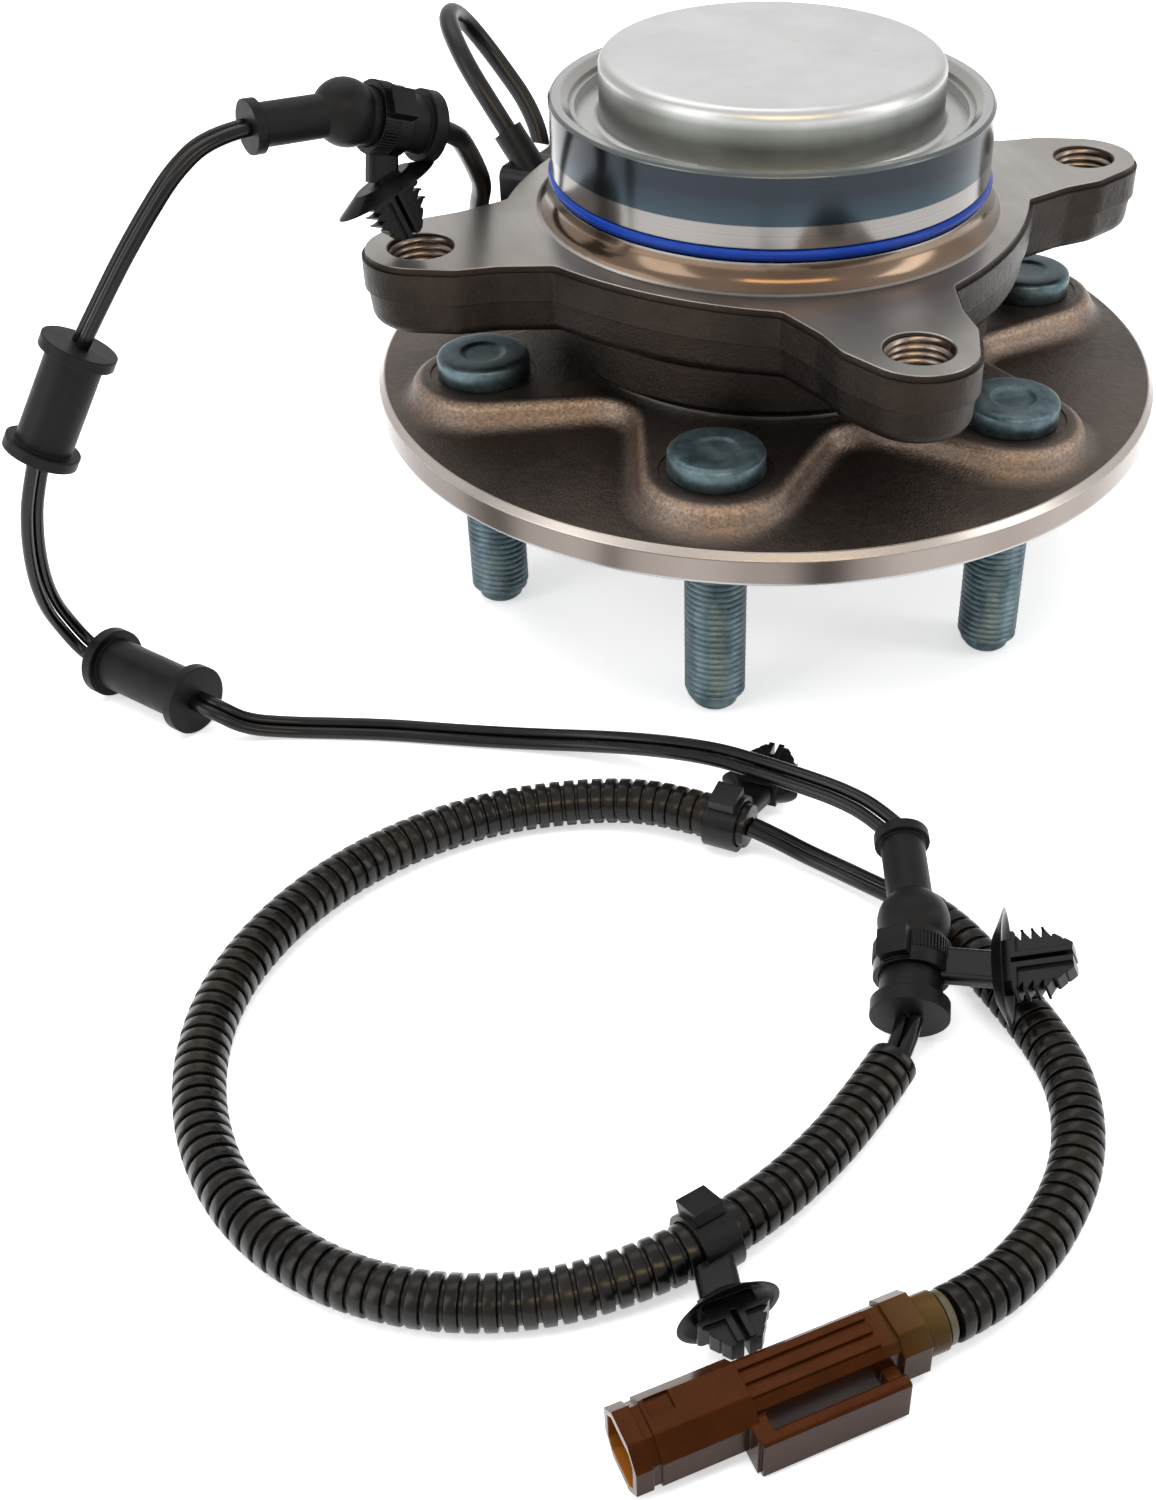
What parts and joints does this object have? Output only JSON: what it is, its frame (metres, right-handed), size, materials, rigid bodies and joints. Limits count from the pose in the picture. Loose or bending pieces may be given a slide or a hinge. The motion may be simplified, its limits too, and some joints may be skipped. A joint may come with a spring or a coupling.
{
  "type": "wheel hub bearing",
  "caption": "Flanged wheel hub bearing with press-in studs, square mounting flange, dust cap, and an axle speed sensor on a clipped harness with a plug.",
  "frame": {"origin": "on the spin axis in the plane of the wheel mounting face", "axes": "+Z along the spin axis, inboard towards the knuckle; +X through one wheel stud and one ear of the mounting flange; the unit stands on its stud tips"},
  "size_m": [0.2729, 0.3442, 0.1291],
  "materials": {
    "forged_steel_hub": "forged dark brown scale, turned rim",
    "forged_steel_ring": "forged scale with ground pilot and machined faces",
    "bearing_steel": "ground",
    "zinc_stud": "blue-grey zinc",
    "sintered_steel": "sintered",
    "stainless_sheet": "satin sheet",
    "nitrile_rubber": "matte",
    "blue_rubber": "satin",
    "ball_steel": "polished",
    "cage_nylon": "moulded",
    "zinc_sheet": "satin zinc",
    "sensor_plastic": "moulded",
    "zinc_fastener": "zinc",
    "grommet_rubber": "matte",
    "clip_nylon": "moulded",
    "wire_sleeve": "gloss",
    "cable_jacket": "satin",
    "conduit_plastic": "ribbed, gloss",
    "connector_brown": "moulded",
    "connector_seal_rubber": "matte",
    "tinned_terminal": "tinned"
  },
  "bodies": {
    "stationary": {"clip_1": "clip_nylon", "clip_2": "clip_nylon", "clip_3": "clip_nylon", "clip_4": "clip_nylon", "conduit_1": "conduit_plastic", "conduit_2": "conduit_plastic", "connector_housing": "connector_brown", "connector_seal": "connector_seal_rubber", "connector_terminals": "tinned_terminal", "dust_cap": "zinc_sheet", "grommet_1": "grommet_rubber", "grommet_2": "grommet_rubber", "grommet_3": "grommet_rubber", "grommet_4": "grommet_rubber", "outer_ring": "forged_steel_ring", "pilot_o_ring": "blue_rubber", "seal_case": "stainless_sheet", "seal_lip": "nitrile_rubber", "sensor_bush": "zinc_fastener", "sensor_cable": "cable_jacket", "sensor_o_ring": "nitrile_rubber", "sensor_screw": "zinc_fastener", "speed_sensor": "sensor_plastic", "wire_a_1": "wire_sleeve", "wire_a_2": "wire_sleeve", "wire_a_3": "wire_sleeve", "wire_a_4": "wire_sleeve", "wire_a_5": "wire_sleeve", "wire_b_1": "wire_sleeve", "wire_b_2": "wire_sleeve", "wire_b_3": "wire_sleeve", "wire_b_4": "wire_sleeve", "wire_b_5": "wire_sleeve"},
    "hub": {"wheel_hub": "forged_steel_hub", "inner_ring": "bearing_steel", "wheel_studs": "zinc_stud", "tone_ring": "sintered_steel", "slinger": "stainless_sheet"},
    "cage_outboard": {"cage_outboard": "cage_nylon", "balls_outboard": "ball_steel"},
    "cage_inboard": {"cage_inboard": "cage_nylon", "balls_inboard": "ball_steel"}
  },
  "joints": [
    {"name": "hub_spin", "type": "hinge", "parent": "stationary", "child": "hub", "pos_m": [0, 0, 0], "axis": [0, 0, 1], "continuous": true},
    {"name": "cage_outboard_spin", "type": "hinge", "parent": "stationary", "child": "cage_outboard", "pos_m": [0, 0, 0.0255], "axis": [0, 0, 1], "continuous": true},
    {"name": "cage_inboard_spin", "type": "hinge", "parent": "stationary", "child": "cage_inboard", "pos_m": [0, 0, 0.0535], "axis": [0, 0, 1], "continuous": true}
  ],
  "couplings": [
    {"joint": "cage_outboard_spin", "follows": "hub_spin", "ratio": 0.4342},
    {"joint": "cage_inboard_spin", "follows": "hub_spin", "ratio": 0.4342}
  ]
}
